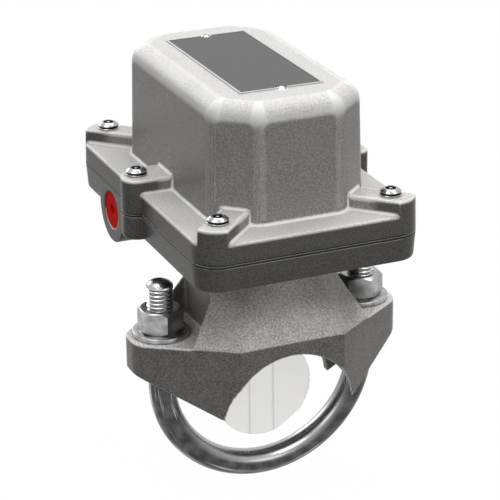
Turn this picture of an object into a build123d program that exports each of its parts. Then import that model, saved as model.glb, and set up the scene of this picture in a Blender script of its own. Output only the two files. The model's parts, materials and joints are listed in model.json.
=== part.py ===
from build123d import *
import math
import os

# Vane flow switch that clamps on a two-inch pipe. All sizes are in millimetres.
# X runs across the pipe, Y along it and Z up. The origin is on the axis of the pipe, under the stem.
# Flow along +Y pushes the vane back. The stem turns on its pivot, its top end leaves the plunger of the
# air-delay unit, and the plunger creeps out and takes its trip bar away from the two snap switches.

# Small gaps that the pieces keep from each other
slack = 0.3                  # between pieces that move past each other
thread_gap = 0.05            # between a screw and its tapped hole
running_gap = 0.05           # radial clearance of a shaft that turns or slides
hole_gap = 0.4               # radial clearance of a bolt in a plain hole

# Saddle casting
seat_radius = 32.5           # arch that lies over the pipe
pipe_gasket_thickness = 2.3  # between the pipe and the arch
seat_band = 5.0              # length of the seat in the front and in the back wall
seat_relief = 1.2            # the arch is this much deeper between the two seats
saddle_half_length = 36.2    # along the pipe
saddle_front_half = 26.0     # half width of the flat front wall
lug_end_half = 8.0           # half width of the lug's end, before its corners are rounded
lug_half_width = 67.5
lug_corner_radius = 11.0
lug_top_z = 39.0
lug_end_z = 20.4             # where the sloping lower edge meets the end of the lug
lug_end_setback = 4.9
lug_end_chamfer = 2.6
lug_slope = 0.577            # slope of the lower edge
leg_tip_z = 3.3
saddle_wall = 5.0
neck_radius = 24.5
neck_start_z = 75.0
neck_bore_radius = 15.9
collar_radius = 22.0
web_thickness = 5.0
hollow_top_z = 34.0
pocket_half_x = 32.5         # flat back of each nut pocket
pocket_half_y = 16.1
pocket_side_x = 44.6         # a second point on the side wall of the pocket
pocket_side_y = 23.1
pocket_fillet = 3.0

# U-bolt with its nuts and washers
rod_radius = 6.35
u_bolt_half_spacing = 51.6
u_bolt_centre_z = 13.4
stud_top_z = 66.4
stud_nose = 3.4              # the ends of the studs are rounded
nut_across_flats = 19.05
nut_height = 11.1
nut_turns = (27.0, 35.0)     # how far the left and the right nut happen to be turned
washer_radius = 13.5
washer_thickness = 2.4
u_bolt_boss_radius = 11.5

# Base housing
housing_y = 20.75            # middle of the housing, behind the stem
base_bottom_z = 81.1
parting_z = 93.45
gasket_thickness = 0.5
housing_half_x = 54.4
housing_half_y = 81.1
plan_corner_radius = 12.0
base_draft = 4.2
base_edge_fillet = 1.0
rim_width = 5.0
floor_thickness = 3.5

# Screw lobes and cover screws
lobe_overhang = 6.6          # the middle lobes stand out this far from the side
lobe_rise = 6.8
corner_screw_edge_x = 12.3   # from the side of the housing
corner_screw_edge_y = 10.6   # from the end of the housing
corner_band_inner = 8.6      # the diagonal bands reach this far from their screw, measured in y
corner_band_outer = 10.8
mid_screw_edge = 1.6         # from the side of the housing
mid_screw_y = (2.5, -2.8)    # on the left and on the right lobe
left_lobe = (-6.9, 6.8, 11.9, 11.6)     # front y, its corner radius, back y, its corner radius
right_lobe = (-12.5, 5.0, 6.9, 7.0)
screw_column_radius = 6.0
cover_screw_radius = 3.1
cover_screw_reach = 8.0
button_head_radius = 5.5
button_head_height = 3.3
button_socket_width = 4.0
button_socket_depth = 1.8
security_pin_radius = 0.8
cover_washer_radius = 5.7
cover_washer_thickness = 1.0

# Cover
cover_draft = 1.2
flange_height = 10.15        # from the middle of the parting gap to the top of the flange
flange_edge_fillet = 1.0
dome_rise = 55.2             # from the top of the flange
dome_half_x = 38.5
dome_half_y = 66.5
dome_chamfer_x = 18.0
dome_chamfer_y = 16.0
dome_corner_radius = 11.0
dome_top_fillet = 9.0
dome_draft = 1.5
cover_wall = 3.0

# Name plate, left bare
plate_half_x = 20.4
plate_half_y = 45.3
plate_border = 1.0
plate_thickness = 0.6
plate_recess = 0.15
rivet_y = 44.6
rivet_head_radius = 2.4
rivet_head_height = 1.1
rivet_pin_radius = 1.1
rivet_pin_length = 2.6

# Conduit entries, one on each side
hub_y = 36.5                 # behind the middle of the housing
hub_radius = 16.0
hub_face_setback = 0.4       # from the side of the housing
hub_length = 24.0
entry_radius = 9.25
entry_length = 13.0
entry_pocket_depth = 21.0
plug_setback = 0.5
plug_length = 9.5
plug_recess_radius = 2.6
plug_recess_depth = 2.0

# Stem, its pivot and the boot
pivot_z = 92.0
pivot_pin_radius = 2.0
pivot_pin_half_length = 16.5
bracket_thickness = 2.5
bracket_half_width = 19.0
bracket_corner_radius = 5.0
ear_inner_x = 13.0
ear_thickness = 2.0
ear_half_y = 5.0
saddle_screw_circle = 20.2
saddle_screw_radius = 2.0
saddle_screw_length = 16.0
saddle_screw_head_radius = 3.5
saddle_screw_head_height = 2.6
boot_radius = 12.0
boot_wall = 1.6
boot_rim_angle = 70.0
boot_sleeve_radius = 4.6
boot_sleeve_z = 73.0
stem_radius = 3.0
stem_hub_radius = 5.0
stem_hub_half = 5.0
arm_half_x = 4.0
arm_half_y = 2.0
arm_top_z = 121.0
tail_half_x = 5.0
tail_thickness = 2.0
tail_top_z = 32.0
tail_bottom_z = 15.5
spring_wire = 0.9
spring_turns = 5.5
spring_pitch = 1.1
spring_inner_radius = 2.4
spring_leg_length = 17.0

# Vane
vane_radius = 24.9
vane_z = 1.1
vane_thickness = 1.2
score_lines_x = (-7.0, 5.5)
score_width = 0.4
score_depth = 0.3
clamp_plate_thickness = 1.6
vane_screw_z = (18.7, 23.7)
vane_screw_radius = 1.25
vane_screw_head_radius = 2.2
vane_screw_head_height = 1.4

# Mechanism bracket
post_x = 24.0
post_y = (25.0, 72.0)
post_radius = 4.5
post_top_z = 88.0
sheet = 1.5
bracket_floor_half_x = 29.0
bracket_floor_y = (19.0, 78.0)
side_plate_x = 13.3
side_plate_y = (24.0, 37.5)
side_plate_top_z = 126.5
rear_plate_y = 62.6
rear_plate_top_z = 127.0
bracket_screw_radius = 1.6
bracket_screw_head_radius = 3.0
bracket_screw_head_height = 2.2
bracket_screw_reach = 6.0

# Air-delay unit
delay_z = 114.0
delay_radius = 12.3
delay_front_y = 28.0
delay_back_y = 60.0
delay_wall = 2.3
delay_cap_thickness = 2.6
plunger_radius = 2.5
piston_front_y = 37.0
piston_thickness = 4.0
delay_spring_turns = 5
delay_spring_radius = 6.0
delay_screw_x = 7.5
delay_screw_radius = 1.25
dial_y = 44.0
dial_boss_radius = 6.0
dial_boss_top_z = 128.0
dial_spindle_radius = 1.5
dial_radius = 9.0
dial_thickness = 2.4
knob_radius = 5.0
knob_height = 5.0
knob_grooves = 12
knob_groove_radius = 0.6
pointer_width = 1.2
trip_bar_y = (16.0, 20.0)
trip_bar_half_x = 23.0
trip_bar_half_z = 4.0

# Snap switches
switch_inner_x = 14.8
switch_width = 10.3
switch_front_y = 22.5
switch_depth = 15.9
switch_bottom_z = 97.0
switch_height = 27.8
switch_corner = 1.0
button_half_x = 1.6
button_half_z = 1.2
button_depth = 5.0
terminal_z = (102.0, 111.0, 120.0)
terminal_half_x = 3.4
terminal_half_z = 3.2
terminal_depth = 4.0
terminal_screw_radius = 1.4
terminal_head_radius = 2.6
terminal_head_height = 1.6
switch_screw_z = (100.0, 122.2)
switch_screw_y = 33.5
switch_screw_radius = 1.4
switch_screw_head_radius = 2.5
switch_screw_head_height = 1.8

# Ground screw
ground_edge_x = 20.4         # from the side of the housing
ground_edge_y = 26.35        # from the end of the housing
ground_boss_radius = 5.0
ground_boss_height = 5.0
ground_screw_radius = 2.0
ground_head_radius = 4.0
ground_head_height = 2.6

# Sizes that follow from the ones above
pipe_radius = seat_radius - pipe_gasket_thickness
saddle_slant = (saddle_half_length - lug_end_half) / (lug_half_width - saddle_front_half)
lug_end_x = lug_half_width - lug_end_setback
corner_screw_x = housing_half_x - corner_screw_edge_x
corner_screw_y = housing_half_y - corner_screw_edge_y
corner_band_low = corner_screw_y - corner_screw_x - corner_band_inner
corner_band_high = corner_screw_y - corner_screw_x + corner_band_outer
ground_x = ground_edge_x - housing_half_x
ground_y = housing_y - housing_half_y + ground_edge_y
lobe_half_x = housing_half_x + lobe_overhang
mid_screw_x = housing_half_x - mid_screw_edge
hub_face_x = housing_half_x - hub_face_setback
hub_inner_x = hub_face_x - hub_length
entry_pocket_x = hub_face_x - entry_pocket_depth
base_top_z = parting_z - gasket_thickness / 2
cover_bottom_z = parting_z + gasket_thickness / 2
flange_top_z = parting_z + flange_height
lobe_top_z = flange_top_z + lobe_rise
dome_top_z = flange_top_z + dome_rise
floor_top_z = base_bottom_z + floor_thickness
rod_hole_radius = rod_radius + hole_gap
hub_z = base_bottom_z
boot_seat_radius = boot_radius + slack
pivot_plate_top_z = floor_top_z + bracket_thickness
plunger_tip_y = arm_half_y + slack
switch_back_y = switch_front_y + switch_depth
button_tip_y = trip_bar_y[1] + slack
bracket_floor_top_z = post_top_z + sheet
dial_bottom_z = dial_boss_top_z + slack
quarter_turn = 90

cover_screw_places = [
    (side_x * corner_screw_x, side_y * corner_screw_y)
    for side_x in (-1, 1)
    for side_y in (-1, 1)
] + [(-mid_screw_x, mid_screw_y[0]), (mid_screw_x, mid_screw_y[1])]


def along_x(x, y, z):
    return Location((x, y, z), (0, 90, 0))


def along_y(x, y, z):
    return Location((x, y, z), (-90, 0, 0))


def disc(radius, bottom, top, x=0.0, y=0.0):
    return Pos(x, y, (bottom + top) / 2) * Cylinder(radius, top - bottom)


def block(x_range, y_range, z_range):
    size = [high - low for low, high in (x_range, y_range, z_range)]
    middle = [(high + low) / 2 for low, high in (x_range, y_range, z_range)]
    return Pos(*middle) * Box(*size)


def rod_x(radius, start, end, y, z):
    return along_x((start + end) / 2, y, z) * Cylinder(radius, abs(end - start))


def rod_y(radius, start, end, x, z):
    return along_y(x, (start + end) / 2, z) * Cylinder(radius, abs(end - start))


def outline(points):
    return make_face(Polyline(*points, close=True))


def up_from(z, sketch, height, taper=0.0):
    return extrude(Pos(0, 0, z) * sketch, height, taper=taper)


def at_housing(shape):
    return Pos(0, housing_y, 0) * shape


def dome_plan(inset):
    # An octagon of flat sides with rounded corners, drawn at the top of the flange
    half_x = dome_half_x - inset
    half_y = dome_half_y - inset
    cut = inset * (1 - math.tan(math.radians(22.5)))
    chamfer_x = dome_chamfer_x - cut * dome_chamfer_x / dome_half_x
    chamfer_y = dome_chamfer_y - cut * dome_chamfer_y / dome_half_y
    corners = [
        (half_x, half_y - chamfer_y),
        (half_x - chamfer_x, half_y),
        (chamfer_x - half_x, half_y),
        (-half_x, half_y - chamfer_y),
        (-half_x, chamfer_y - half_y),
        (chamfer_x - half_x, -half_y),
        (half_x - chamfer_x, -half_y),
        (half_x, chamfer_y - half_y),
    ]
    plan = outline(corners)
    return fillet(plan.vertices(), dome_corner_radius - inset)


def dome(inset, bottom, top):
    body = up_from(bottom, dome_plan(inset), top - bottom, dome_draft)
    rim = body.edges().group_by(Axis.Z)[-1]
    return at_housing(fillet(rim, dome_top_fillet - inset))


def lobe_plan(side, shape):
    front, front_radius, back, back_radius = shape
    inner = side * (dome_half_x - dome_top_fillet)
    outer = side * lobe_half_x
    plan = outline([(inner, front), (outer, front), (outer, back), (inner, back)])
    tips = [v for v in plan.vertices() if abs(v.X - outer) < slack]
    plan = fillet([v for v in tips if v.Y < (front + back) / 2], front_radius)
    tips = [v for v in plan.vertices() if abs(v.X - outer) < slack and abs(v.Y - back) < slack]
    return fillet(tips, back_radius)


def mid_lobes(bottom, top):
    shapes = ((-1, left_lobe), (1, right_lobe))
    return [at_housing(up_from(bottom, lobe_plan(side, lobe), top - bottom)) for side, lobe in shapes]


def corner_bands(bottom, top):
    near = dome_half_x - dome_chamfer_x
    far = housing_half_x + plan_corner_radius
    bands = []
    for side_x in (-1, 1):
        for side_y in (-1, 1):
            points = [
                (side_x * near, side_y * (near + corner_band_low)),
                (side_x * far, side_y * (far + corner_band_low)),
                (side_x * far, side_y * (far + corner_band_high)),
                (side_x * near, side_y * (near + corner_band_high)),
            ]
            bands.append(at_housing(up_from(bottom, outline(points), top - bottom)))
    return bands


def soften(shape, radius, top=True):
    # Rounds the edges that lie in the shape's top plane, or in its bottom plane
    box = shape.bounding_box()
    level = box.max.Z if top else box.min.Z
    rim = [
        edge
        for edge in shape.edges()
        if abs(edge.bounding_box().min.Z - level) < thread_gap
        and abs(edge.bounding_box().max.Z - level) < thread_gap
    ]
    return fillet(rim, radius)


def screw_columns(radius, bottom, top):
    columns = None
    for x, y in cover_screw_places:
        column = disc(radius, bottom, top, x, y + housing_y)
        columns = column if columns is None else columns + column
    return columns


def housing_plan(inset):
    return RectangleRounded(
        2 * (housing_half_x - inset), 2 * (housing_half_y - inset), plan_corner_radius - inset
    )


def make_cover():
    height = flange_top_z - cover_bottom_z
    flange = at_housing(up_from(cover_bottom_z, housing_plan(0), height, cover_draft))
    tall = at_housing(up_from(cover_bottom_z, housing_plan(0), height + lobe_rise, cover_draft))
    shell = soften(flange, flange_edge_fillet)
    for band in corner_bands(cover_bottom_z, lobe_top_z):
        shell = shell + soften(band & tall, flange_edge_fillet)
    for lobe in mid_lobes(cover_bottom_z, lobe_top_z):
        shell = shell + soften(lobe, flange_edge_fillet)
    shell = shell + dome(0, flange_top_z, dome_top_z)
    hollow = at_housing(
        up_from(cover_bottom_z, housing_plan(rim_width), height - cover_wall)
    )
    hollow = hollow - screw_columns(screw_column_radius, cover_bottom_z, lobe_top_z)
    shell = shell - hollow
    shell = shell - dome(cover_wall, flange_top_z - cover_wall, dome_top_z - cover_wall)
    return shell - screw_columns(cover_screw_radius + hole_gap, cover_bottom_z, lobe_top_z)


def make_cover_gasket():
    ring = at_housing(up_from(base_top_z, housing_plan(0), gasket_thickness))
    for lobe in mid_lobes(base_top_z, cover_bottom_z):
        ring = ring + lobe
    inside = at_housing(up_from(base_top_z, housing_plan(rim_width), gasket_thickness))
    inside = inside - screw_columns(screw_column_radius, base_top_z, cover_bottom_z)
    ring = ring - inside
    return ring - screw_columns(cover_screw_radius + hole_gap, base_top_z, cover_bottom_z)


def hub_outer(side):
    y = housing_y + hub_y
    return rod_x(hub_radius, side * hub_inner_x, side * hub_face_x, y, hub_z)


def entry_way(side):
    y = housing_y + hub_y
    inner = side * (hub_face_x - entry_length)
    bore = rod_x(entry_radius, inner, side * (housing_half_x + base_draft), y, hub_z)
    pocket_x = sorted((side * entry_pocket_x, inner))
    pocket = block(pocket_x, (y - entry_radius, y + entry_radius), (hub_z - entry_radius, base_top_z))
    return bore + pocket


def make_base():
    height = base_top_z - base_bottom_z
    top = Pos(0, 0, base_top_z) * housing_plan(0)
    tray = at_housing(extrude(top, -height, taper=base_draft))
    body = soften(tray, base_edge_fillet, top=False)
    for lobe in mid_lobes(base_bottom_z, base_top_z):
        body = body + soften(lobe, base_edge_fillet, top=False)
    hollow_height = base_top_z - floor_top_z
    hollow = at_housing(up_from(floor_top_z, housing_plan(rim_width), hollow_height))
    hollow = hollow - screw_columns(screw_column_radius, floor_top_z, base_top_z)
    body = body - hollow
    under_gasket = block(
        (-lobe_half_x, lobe_half_x),
        (housing_y - housing_half_y, housing_y + housing_half_y),
        (base_top_z - gasket_thickness, lobe_top_z),
    )
    for side in (-1, 1):
        body = body + (hub_outer(side) - under_gasket)
        body = body - entry_way(side)
        for y in post_y:
            body = body + disc(post_radius, floor_top_z, post_top_z, side * post_x, y)
            body = body - disc(
                bracket_screw_radius + thread_gap,
                post_top_z - bracket_screw_reach + sheet,
                post_top_z,
                side * post_x,
                y,
            )
    boss_top = floor_top_z + ground_boss_height
    body = body + disc(ground_boss_radius, floor_top_z, boss_top, ground_x, ground_y)
    body = body - disc(ground_screw_radius + thread_gap, floor_top_z, boss_top, ground_x, ground_y)
    body = body - Pos(0, 0, pivot_z) * Sphere(boot_seat_radius)
    body = body - disc(boot_sleeve_radius + slack + stem_radius, base_bottom_z, floor_top_z)
    for x, y in saddle_screw_places():
        body = body - disc(saddle_screw_radius + hole_gap, base_bottom_z, floor_top_z, x, y)
    start = base_top_z - cover_screw_reach
    return body - screw_columns(cover_screw_radius + thread_gap, start, base_top_z)


def saddle_screw_places():
    angles = [math.radians(quarter_turn * (turn + 0.5)) for turn in range(4)]
    return [(saddle_screw_circle * math.cos(a), saddle_screw_circle * math.sin(a)) for a in angles]


def saddle_plan(inset):
    # Flat front and back walls, slanted walls towards the lugs, and rounded lug ends
    front = saddle_half_length - inset
    drift = inset * (math.hypot(1, saddle_slant) - 1) / saddle_slant
    flat = saddle_front_half + drift
    end_x = lug_half_width - inset
    end_y = front - saddle_slant * (end_x - flat)
    corners = [
        (flat, front), (-flat, front), (-end_x, end_y), (-end_x, -end_y),
        (-flat, -front), (flat, -front), (end_x, -end_y), (end_x, end_y),
    ]
    plan = outline(corners)
    tips = [v for v in plan.vertices() if abs(v.X) > end_x - slack]
    return fillet(tips, lug_corner_radius - inset)


def saddle_profile():
    # Front view of the saddle's outside, with sloping lower edges from the lugs to the leg tips
    tip_x = lug_end_x - (lug_end_z - leg_tip_z) / lug_slope
    half = [
        (tip_x, leg_tip_z),
        (lug_end_x, lug_end_z),
        (lug_half_width, lug_end_z + lug_end_chamfer),
        (lug_half_width, lug_top_z),
    ]
    mirror_half = [(-x, z) for x, z in reversed(half)]
    face = outline(half + mirror_half)
    side_on = Plane.XZ * face
    return extrude(side_on, saddle_half_length, both=True)


def flare():
    # Straight-ruled casting between the pointed hexagon of the saddle and the round neck
    point_x = saddle_front_half + saddle_half_length / saddle_slant
    corners = [
        (point_x, 0), (saddle_front_half, saddle_half_length), (-saddle_front_half, saddle_half_length),
        (-point_x, 0), (-saddle_front_half, -saddle_half_length), (saddle_front_half, -saddle_half_length),
    ]
    angles = [math.degrees(math.atan2(y, x)) % 360 for x, y in corners]
    low = outline(corners)
    arcs = []
    for start, end in zip(angles, angles[1:] + [360.0]):
        arcs.append(CenterArc((0, 0), neck_radius, start, end - start))
    high = make_face(arcs)
    return loft([Pos(0, 0, lug_top_z) * low, Pos(0, 0, neck_start_z) * high], ruled=True)


def nut_pockets():
    run_x = pocket_side_x - pocket_half_x
    run_y = pocket_side_y - pocket_half_y
    reach = (lug_half_width + saddle_half_length - pocket_half_x) / run_x
    far_x = pocket_half_x + reach * run_x
    far_y = pocket_half_y + reach * run_y
    pockets = None
    for side in (-1, 1):
        points = [
            (side * pocket_half_x, -pocket_half_y), (side * pocket_half_x, pocket_half_y),
            (side * far_x, far_y), (side * far_x, -far_y),
        ]
        plan = outline(points)
        corners = [v for v in plan.vertices() if abs(v.X) < pocket_half_x + slack]
        pocket = up_from(lug_top_z, fillet(corners, pocket_fillet), base_bottom_z - lug_top_z)
        pockets = pocket if pockets is None else pockets + pocket
    return pockets


def make_saddle():
    plan = saddle_plan(0)
    block_part = up_from(0, plan, lug_top_z) & saddle_profile()
    hollow = up_from(-seat_radius, saddle_plan(saddle_wall), hollow_top_z + seat_radius)
    hollow = hollow - disc(collar_radius, -seat_radius, hollow_top_z)
    half_web = web_thickness / 2
    hollow = hollow - block(
        (-lug_half_width, lug_half_width), (-half_web, half_web), (-seat_radius, hollow_top_z)
    )
    for side in (-1, 1):
        boss = disc(u_bolt_boss_radius, -seat_radius, hollow_top_z, side * u_bolt_half_spacing, 0)
        hollow = hollow - boss
    body = block_part - hollow
    upper = flare() - nut_pockets()
    body = body + upper
    body = body + disc(neck_radius, neck_start_z - slack, base_bottom_z)
    body = body - rod_y(seat_radius, -2 * saddle_half_length, 2 * saddle_half_length, 0, 0)
    inner_end = saddle_half_length - seat_band
    relief = rod_y(seat_radius + seat_relief, -inner_end, inner_end, 0, 0)
    body = body - (relief - disc(collar_radius, -seat_radius, hollow_top_z))
    body = body - disc(neck_bore_radius, 0, base_bottom_z)
    for side in (-1, 1):
        body = body - disc(rod_hole_radius, 0, lug_top_z, side * u_bolt_half_spacing, 0)
    for x, y in saddle_screw_places():
        depth = saddle_screw_length - floor_thickness - bracket_thickness + slack
        hole = saddle_screw_radius + thread_gap
        body = body - disc(hole, base_bottom_z - depth, base_bottom_z, x, y)
    return body


def make_pipe_gasket():
    ring = disc(collar_radius, 0, seat_radius) - disc(neck_bore_radius, 0, seat_radius)
    ring = ring & rod_y(seat_radius, -collar_radius, collar_radius, 0, 0)
    return ring - rod_y(pipe_radius, -saddle_half_length, saddle_half_length, 0, 0)


def make_u_bolt():
    half = u_bolt_half_spacing
    path = Line((-half, 0, stud_top_z), (-half, 0, u_bolt_centre_z))
    loop = ThreePointArc(
        (-half, 0, u_bolt_centre_z), (0, 0, u_bolt_centre_z - half), (half, 0, u_bolt_centre_z)
    )
    end = Line((half, 0, u_bolt_centre_z), (half, 0, stud_top_z))
    section = Pos(-half, 0, stud_top_z) * Circle(rod_radius)
    bolt = sweep(section, path=Wire([path, loop, end]))
    ends = bolt.edges().filter_by(GeomType.CIRCLE).group_by(Axis.Z)[-1]
    return fillet(ends, stud_nose)


def make_washers():
    washers = None
    for side in (-1, 1):
        x = side * u_bolt_half_spacing
        top = lug_top_z + washer_thickness
        washer = disc(washer_radius, lug_top_z, top, x) - disc(rod_hole_radius, lug_top_z, top, x)
        washers = washer if washers is None else washers + washer
    return washers


def hex_nut(width, height, bore):
    corner_radius = width / 2 / math.cos(math.radians(30))
    body = extrude(RegularPolygon(width / 2, 6, major_radius=False), height)
    profile = outline([
        (0, 0), (width / 2, 0), (corner_radius, (corner_radius - width / 2) * lug_slope),
        (corner_radius, height - (corner_radius - width / 2) * lug_slope),
        (width / 2, height), (0, height),
    ])
    turned = revolve(Plane.XZ * profile, Axis.Z)
    return (body & turned) - disc(bore, 0, height)


def make_nuts():
    nuts = None
    for side, turn in zip((-1, 1), nut_turns):
        nut = hex_nut(nut_across_flats, nut_height, rod_radius + thread_gap)
        place = Pos(side * u_bolt_half_spacing, 0, lug_top_z + washer_thickness)
        nut = place * (Rot(0, 0, turn) * nut)
        nuts = nut if nuts is None else nuts + nut
    return nuts


def button_screw():
    crown = button_head_radius * math.sqrt(2)
    head = Pos(0, 0, button_head_height - crown) * Sphere(crown)
    head = head & disc(button_head_radius, 0, button_head_height)
    floor = button_head_height - button_socket_depth
    socket = up_from(
        floor, RegularPolygon(button_socket_width / 2, 6, major_radius=False), button_socket_depth
    )
    pin = disc(security_pin_radius, floor, button_head_height)
    return head - (socket - pin)


def make_cover_screws():
    screws = None
    head_z = lobe_top_z + cover_washer_thickness
    bottom = base_top_z - cover_screw_reach
    for x, y in cover_screw_places:
        y = y + housing_y
        screw = Pos(x, y, head_z) * button_screw() + disc(cover_screw_radius, bottom, head_z, x, y)
        screws = screw if screws is None else screws + screw
    return screws


def make_cover_washers():
    top = lobe_top_z + cover_washer_thickness
    outer = screw_columns(cover_washer_radius, lobe_top_z, top)
    return outer - screw_columns(cover_screw_radius + thread_gap, lobe_top_z, top)


def make_name_plate():
    z = dome_top_z
    low = housing_y - plate_half_y
    high = housing_y + plate_half_y
    plate = block((-plate_half_x, plate_half_x), (low, high), (z, z + plate_thickness))
    plate = plate - block(
        (plate_border - plate_half_x, plate_half_x - plate_border),
        (low + plate_border, high - plate_border),
        (z + plate_thickness - plate_recess, z + plate_thickness),
    )
    for side in (-1, 1):
        y = housing_y + side * rivet_y
        plate = plate - disc(rivet_head_radius + slack, z, z + plate_thickness, 0, y)
    return plate


def make_rivets():
    rivets = None
    for side in (-1, 1):
        y = housing_y + side * rivet_y
        ball_radius = (rivet_head_radius ** 2 + rivet_head_height ** 2) / (2 * rivet_head_height)
        head = Pos(0, y, dome_top_z + rivet_head_height - ball_radius) * Sphere(ball_radius)
        head = head & disc(rivet_head_radius, dome_top_z, dome_top_z + rivet_head_height, 0, y)
        rivet = head + disc(rivet_pin_radius, dome_top_z - rivet_pin_length, dome_top_z, 0, y)
        rivets = rivet if rivets is None else rivets + rivet
    return rivets


def rivet_holes():
    holes = None
    for side in (-1, 1):
        y = housing_y + side * rivet_y
        hole = disc(rivet_pin_radius + thread_gap, dome_top_z - cover_wall, dome_top_z, 0, y)
        holes = hole if holes is None else holes + hole
    return holes


def make_conduit_plug():
    y = housing_y + hub_y
    face = plug_setback - hub_face_x
    plug = rod_x(entry_radius - running_gap, face, face + plug_length, y, hub_z)
    return plug - rod_x(plug_recess_radius, face, face + plug_recess_depth, y, hub_z)


def make_pivot_bracket():
    plate = up_from(
        floor_top_z,
        RectangleRounded(2 * bracket_half_width, 2 * bracket_half_width, bracket_corner_radius),
        bracket_thickness,
    )
    plate = plate - Pos(0, 0, pivot_z) * Sphere(boot_seat_radius)
    ear_top = pivot_z + ear_half_y
    for side in (-1, 1):
        x_range = sorted((side * ear_inner_x, side * (ear_inner_x + ear_thickness)))
        ear = block(x_range, (-ear_half_y, ear_half_y), (floor_top_z, pivot_z))
        ear = ear + rod_x(ear_half_y, x_range[0], x_range[1], 0, pivot_z)
        plate = plate + (ear - Pos(0, 0, pivot_z) * Sphere(boot_seat_radius))
    plate = plate & block(
        (-bracket_half_width, bracket_half_width),
        (-bracket_half_width, bracket_half_width),
        (floor_top_z, ear_top),
    )
    for x, y in saddle_screw_places():
        hole = saddle_screw_radius + hole_gap
        plate = plate - disc(hole, floor_top_z, pivot_plate_top_z, x, y)
    return plate - rod_x(pivot_pin_radius, -bracket_half_width, bracket_half_width, 0, pivot_z)


def make_pivot_pin():
    return rod_x(pivot_pin_radius, -pivot_pin_half_length, pivot_pin_half_length, 0, pivot_z)


def pan_screw(radius, head_radius, head_height, length):
    # Head up, with its seat at z = 0 and a slot across the top
    head = disc(head_radius, 0, head_height)
    head = fillet(head.edges().group_by(Axis.Z)[-1], head_height / 3)
    slot = block(
        (-head_radius, head_radius), (-head_height / 6, head_height / 6), (head_height / 2, head_height)
    )
    return head - slot + disc(radius, -length, 0)


def make_saddle_screws():
    screws = None
    for x, y in saddle_screw_places():
        screw = pan_screw(
            saddle_screw_radius, saddle_screw_head_radius, saddle_screw_head_height, saddle_screw_length
        )
        screw = Pos(x, y, pivot_plate_top_z) * screw
        screws = screw if screws is None else screws + screw
    return screws


def make_stem_lever():
    rod = disc(stem_radius, tail_top_z - stem_radius, pivot_z)
    hub = rod_x(stem_hub_radius, -stem_hub_half, stem_hub_half, 0, pivot_z)
    arm = block((-arm_half_x, arm_half_x), (-arm_half_y, arm_half_y), (pivot_z, arm_top_z))
    arm = fillet(arm.edges().filter_by(Axis.Y).group_by(Axis.Z)[-1], arm_half_x / 2)
    low = vane_thickness / 2
    tail = block((-tail_half_x, tail_half_x), (low, low + tail_thickness), (tail_bottom_z, tail_top_z))
    stem = rod + hub + arm + tail
    for z in vane_screw_z:
        stem = stem - rod_y(vane_screw_radius + thread_gap, 0, low + tail_thickness, 0, z)
    bore = pivot_pin_radius + running_gap
    return stem - rod_x(bore, -stem_hub_half, stem_hub_half, 0, pivot_z)


def make_boot():
    shell = Sphere(boot_radius) - Sphere(boot_radius - boot_wall)
    rim = boot_radius * math.cos(math.radians(boot_rim_angle))
    shell = shell & block((-boot_radius, boot_radius), (-boot_radius, boot_radius), (-boot_radius, -rim))
    boot = Pos(0, 0, pivot_z) * shell
    boot = boot + disc(boot_sleeve_radius, boot_sleeve_z, pivot_z - boot_radius + boot_wall)
    return boot - disc(stem_radius, boot_sleeve_z, pivot_z)


def coil_spring(radius, length, turns):
    # Wound about +Z from z = 0, starting on +X
    coil = Helix(length / turns, length, radius)
    section = Plane(origin=coil @ 0, z_dir=coil % 0) * Circle(spring_wire / 2)
    return sweep(section, path=coil, is_frenet=True)


def make_return_spring():
    # A torsion spring round the pin: its coil, a leg hooked behind the arm, and one against the ear
    start = stem_hub_half + slack + spring_wire / 2
    length = spring_turns * spring_pitch
    middle = spring_inner_radius + spring_wire / 2
    coil = Rot(0, quarter_turn, 0) * Rot(0, 0, -quarter_turn) * coil_spring(middle, length, spring_turns)
    coil = Pos(start, 0, pivot_z) * coil
    leg_top = pivot_z + spring_leg_length
    leg = disc(spring_wire / 2, pivot_z, leg_top, start, -middle)
    hook = rod_x(spring_wire / 2, 0, start, -middle, leg_top - spring_wire / 2)
    anchor = rod_x(spring_wire / 2, start + length, ear_inner_x - slack, middle, pivot_z)
    return coil + leg + hook + anchor


def make_vane():
    half = vane_thickness / 2
    vane = rod_y(vane_radius, -half, half, 0, vane_z)
    for x in score_lines_x:
        vane = vane - block(
            (x - score_width / 2, x + score_width / 2),
            (-half, score_depth - half),
            (vane_z - vane_radius, vane_z + vane_radius),
        )
    for z in vane_screw_z:
        vane = vane - rod_y(vane_screw_radius + thread_gap, -half, half, 0, z)
    return vane


def make_clamp_plate():
    near = -vane_thickness / 2
    low = tail_bottom_z
    plate = block(
        (-tail_half_x, tail_half_x), (near - clamp_plate_thickness, near), (low, vane_z + vane_radius)
    )
    for z in vane_screw_z:
        hole = vane_screw_radius + thread_gap
        plate = plate - rod_y(hole, near - clamp_plate_thickness, near, 0, z)
    return plate


def make_vane_screws():
    screws = None
    seat = -vane_thickness / 2 - clamp_plate_thickness
    end = vane_thickness / 2 + tail_thickness
    for z in vane_screw_z:
        screw = rod_y(vane_screw_head_radius, seat - vane_screw_head_height, seat, 0, z)
        screw = screw + rod_y(vane_screw_radius, seat, end, 0, z)
        screws = screw if screws is None else screws + screw
    return screws


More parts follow.
